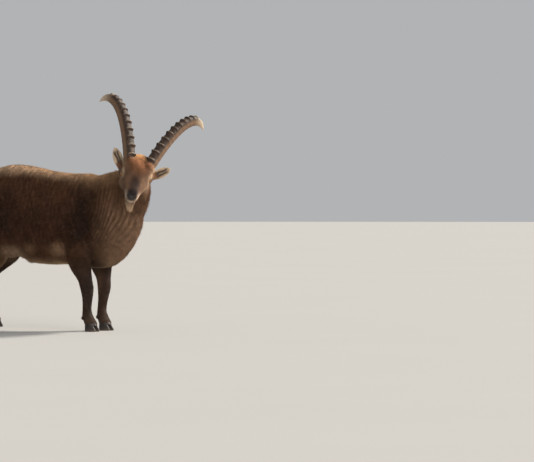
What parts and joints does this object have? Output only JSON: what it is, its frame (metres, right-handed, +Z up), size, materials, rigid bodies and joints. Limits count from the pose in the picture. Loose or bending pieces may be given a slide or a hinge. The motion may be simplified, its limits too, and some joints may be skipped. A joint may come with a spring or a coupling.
{
  "type": "alpine ibex",
  "caption": "Life-size still model of a male alpine ibex standing on all fours, its horned head turned to its right.",
  "frame": {"origin": "middle of the part's bounding box, at the level of the soles", "axes": "+X the way the body heads, +Y the animal's left, +Z up"},
  "size_m": [1.4619, 0.6292, 1.3665],
  "materials": {
    "torso": "short coarse hair, dark brown",
    "neck": "short coarse hair, brown",
    "tail": "short hair, blackish brown",
    "leg_front_right": "short hair, blackish brown",
    "hoof_front_right_outer": "hoof horn, satin",
    "hoof_front_right_inner": "hoof horn, satin",
    "leg_front_left": "short hair, blackish brown",
    "hoof_front_left_outer": "hoof horn, satin",
    "hoof_front_left_inner": "hoof horn, satin",
    "leg_hind_right": "short hair, blackish brown",
    "hoof_hind_right_outer": "hoof horn, satin",
    "hoof_hind_right_inner": "hoof horn, satin",
    "leg_hind_left": "short hair, blackish brown",
    "hoof_hind_left_outer": "hoof horn, satin",
    "hoof_hind_left_inner": "hoof horn, satin",
    "head": "short hair, brown with a dark nose ridge",
    "eye_right": "wet gloss, amber",
    "horn_right": "ridged horn, satin",
    "ear_right": "short hair, pale inside",
    "eye_left": "wet gloss, amber",
    "horn_left": "ridged horn, satin",
    "ear_left": "short hair, pale inside"
  },
  "bodies": {
    "root": {"torso": "torso", "neck": "neck", "tail": "tail", "leg_front_right": "leg_front_right", "hoof_front_right_outer": "hoof_front_right_outer", "hoof_front_right_inner": "hoof_front_right_inner", "leg_front_left": "leg_front_left", "hoof_front_left_outer": "hoof_front_left_outer", "hoof_front_left_inner": "hoof_front_left_inner", "leg_hind_right": "leg_hind_right", "hoof_hind_right_outer": "hoof_hind_right_outer", "hoof_hind_right_inner": "hoof_hind_right_inner", "leg_hind_left": "leg_hind_left", "hoof_hind_left_outer": "hoof_hind_left_outer", "hoof_hind_left_inner": "hoof_hind_left_inner", "head": "head", "eye_right": "eye_right", "horn_right": "horn_right", "ear_right": "ear_right", "eye_left": "eye_left", "horn_left": "horn_left", "ear_left": "ear_left"}
  },
  "joints": []
}
